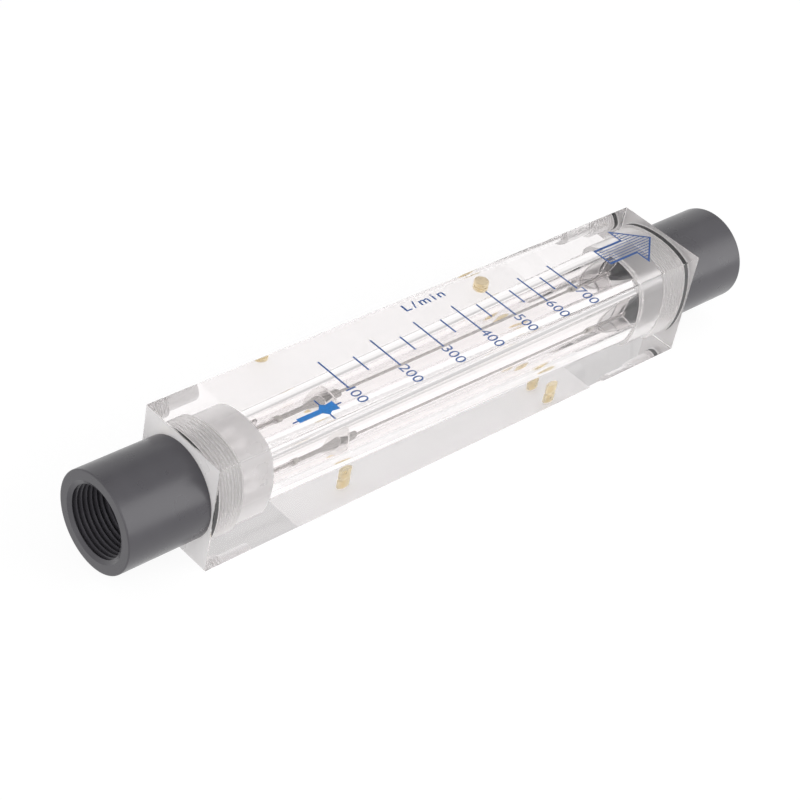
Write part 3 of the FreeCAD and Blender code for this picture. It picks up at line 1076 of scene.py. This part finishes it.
# ------------------------------------------------------------------ studio
def add_lamp(name, place, side, power):
    """Soft square lamp aimed at the block, not seen through the clear parts."""
    light = bpy.data.lights.new(name, "AREA")
    light.shape = "RECTANGLE"
    light.size = light.size_y = side
    light.energy = power
    lamp = bpy.data.objects.new(name, light)
    bpy.context.scene.collection.objects.link(lamp)
    lamp.location = place
    lamp.visible_transmission = False
    aim = Vector((0, 0, AXIS_HEIGHT)) - Vector(place)
    lamp.rotation_euler = aim.to_track_quat("-Z", "Y").to_euler()


def backdrop_glow(tree, to_camera, to_clear, to_diffuse):
    """Brightness by how a ray got here: from the camera, through or off clear and shiny
    things, or from a dull surface that it lights, as a socket."""
    path = tree.nodes.new("ShaderNodeLightPath").outputs
    clear = combine(tree, path["Is Glossy Ray"], path["Is Transmission Ray"], "MAXIMUM")
    glow = combine(tree, clear, to_clear - to_diffuse, "MULTIPLY")
    direct = combine(tree, path["Is Camera Ray"], to_camera - to_diffuse, "MULTIPLY")
    return combine(tree, combine(tree, glow, direct, "ADD"), to_diffuse, "ADD")


def backdrop_sheet(name, half, matrix, grey, glow):
    """Flat sheet of the studio set, with its own brightness to each kind of ray."""
    bm = bmesh.new()
    bmesh.ops.create_grid(bm, x_segments=1, y_segments=1, size=half, matrix=matrix)
    mesh = bpy.data.meshes.new(name)
    bm.to_mesh(mesh)
    bm.free()
    sheet = bpy.data.objects.new(name, mesh)
    bpy.context.scene.collection.objects.link(sheet)
    material = bpy.data.materials.new(name)
    material.use_nodes = True
    tree = material.node_tree
    shader = tree.nodes["Principled BSDF"]
    shader.inputs["Base Color"].default_value = (grey, grey, grey, 1)
    shader.inputs["Roughness"].default_value = 1.0
    shader.inputs["Specular IOR Level"].default_value = 0.0
    shader.inputs["Emission Color"].default_value = (1, 1, 1, 1)
    tree.links.new(backdrop_glow(tree, *glow), shader.inputs["Emission Strength"])
    mesh.materials.append(material)


def studio_set():
    """White floor that keeps the block's shadow, and a grey ceiling card behind it."""
    floor = Matrix.Translation((0, 0, block_low.z - FLOOR_DROP))
    backdrop_sheet("studio_floor", FLOOR_HALF, floor, FLOOR_COLOUR, FLOOR_GLOW)
    card = Matrix.Translation(CARD_PLACE) @ CARD_PLACE.to_track_quat("Z", "Y").to_matrix().to_4x4()
    backdrop_sheet("grey_card", CARD_HALF, card, 0.0, CARD_GLOW)


def studio_world():
    """Even white surround, greyer for light that only falls on things."""
    world = bpy.data.worlds.new("studio_surround")
    bpy.context.scene.world = world
    world.use_nodes = True
    tree = world.node_tree
    background = tree.nodes["Background"]
    background.inputs["Color"].default_value = (1, 1, 1, 1)
    tree.links.new(backdrop_glow(tree, *WORLD_GLOW), background.inputs["Strength"])


def studio_camera():
    """Camera above the inlet end, looking down along the block."""
    data = bpy.data.cameras.new("studio_camera")
    camera = bpy.data.objects.new("studio_camera", data)
    bpy.context.scene.collection.objects.link(camera)
    roll = Matrix.Rotation(CAMERA_ROLL, 3, "Z").to_quaternion()
    camera.rotation_mode = "QUATERNION"
    camera.rotation_quaternion = CAMERA_AIM.to_track_quat("-Z", "Y") @ roll
    camera.location = CAMERA_PLACE
    data.lens = CAMERA_LENS
    data.sensor_width = CAMERA_SENSOR
    bpy.context.scene.camera = camera


def light_paths():
    """Enough bounces for light to cross the block's many clear and milky faces."""
    cycles = bpy.context.scene.cycles
    cycles.max_bounces = cycles.transmission_bounces = CLEAR_BOUNCES
    cycles.glossy_bounces = GLOSSY_BOUNCES
    cycles.diffuse_bounces = DIFFUSE_BOUNCES


bored_block()
end_fitting(-1, "inlet_pipe_fitting", "inlet_fitting")
end_fitting(1, "outlet_pipe_fitting", "outlet_fitting")
seal_ring(-1, "inlet_seal", "inlet_o_ring")
seal_ring(1, "outlet_seal", "outlet_o_ring")
rod_support("inlet_spider", "inlet_rod_support")
rod_support("outlet_spider", "outlet_rod_support")
guide_rod()
rod_clips()
float_stop(-1, "inlet_bumper", "inlet_float_stop")
float_stop(1, "outlet_bumper", "outlet_float_stop")
metering_float()
knurled_inserts()
hide_print_echoes(scale_print(), scale_numbers(), unit_label(), flow_arrow())

add_lamp("key_lamp", KEY_LAMP_PLACE, KEY_LAMP_SIDE, KEY_LAMP_WATTS)
add_lamp("fill_lamp", FILL_LAMP_PLACE, FILL_LAMP_SIDE, FILL_LAMP_WATTS)
studio_set()
studio_world()
studio_camera()
light_paths()
bpy.context.scene.view_settings.view_transform = "Standard"
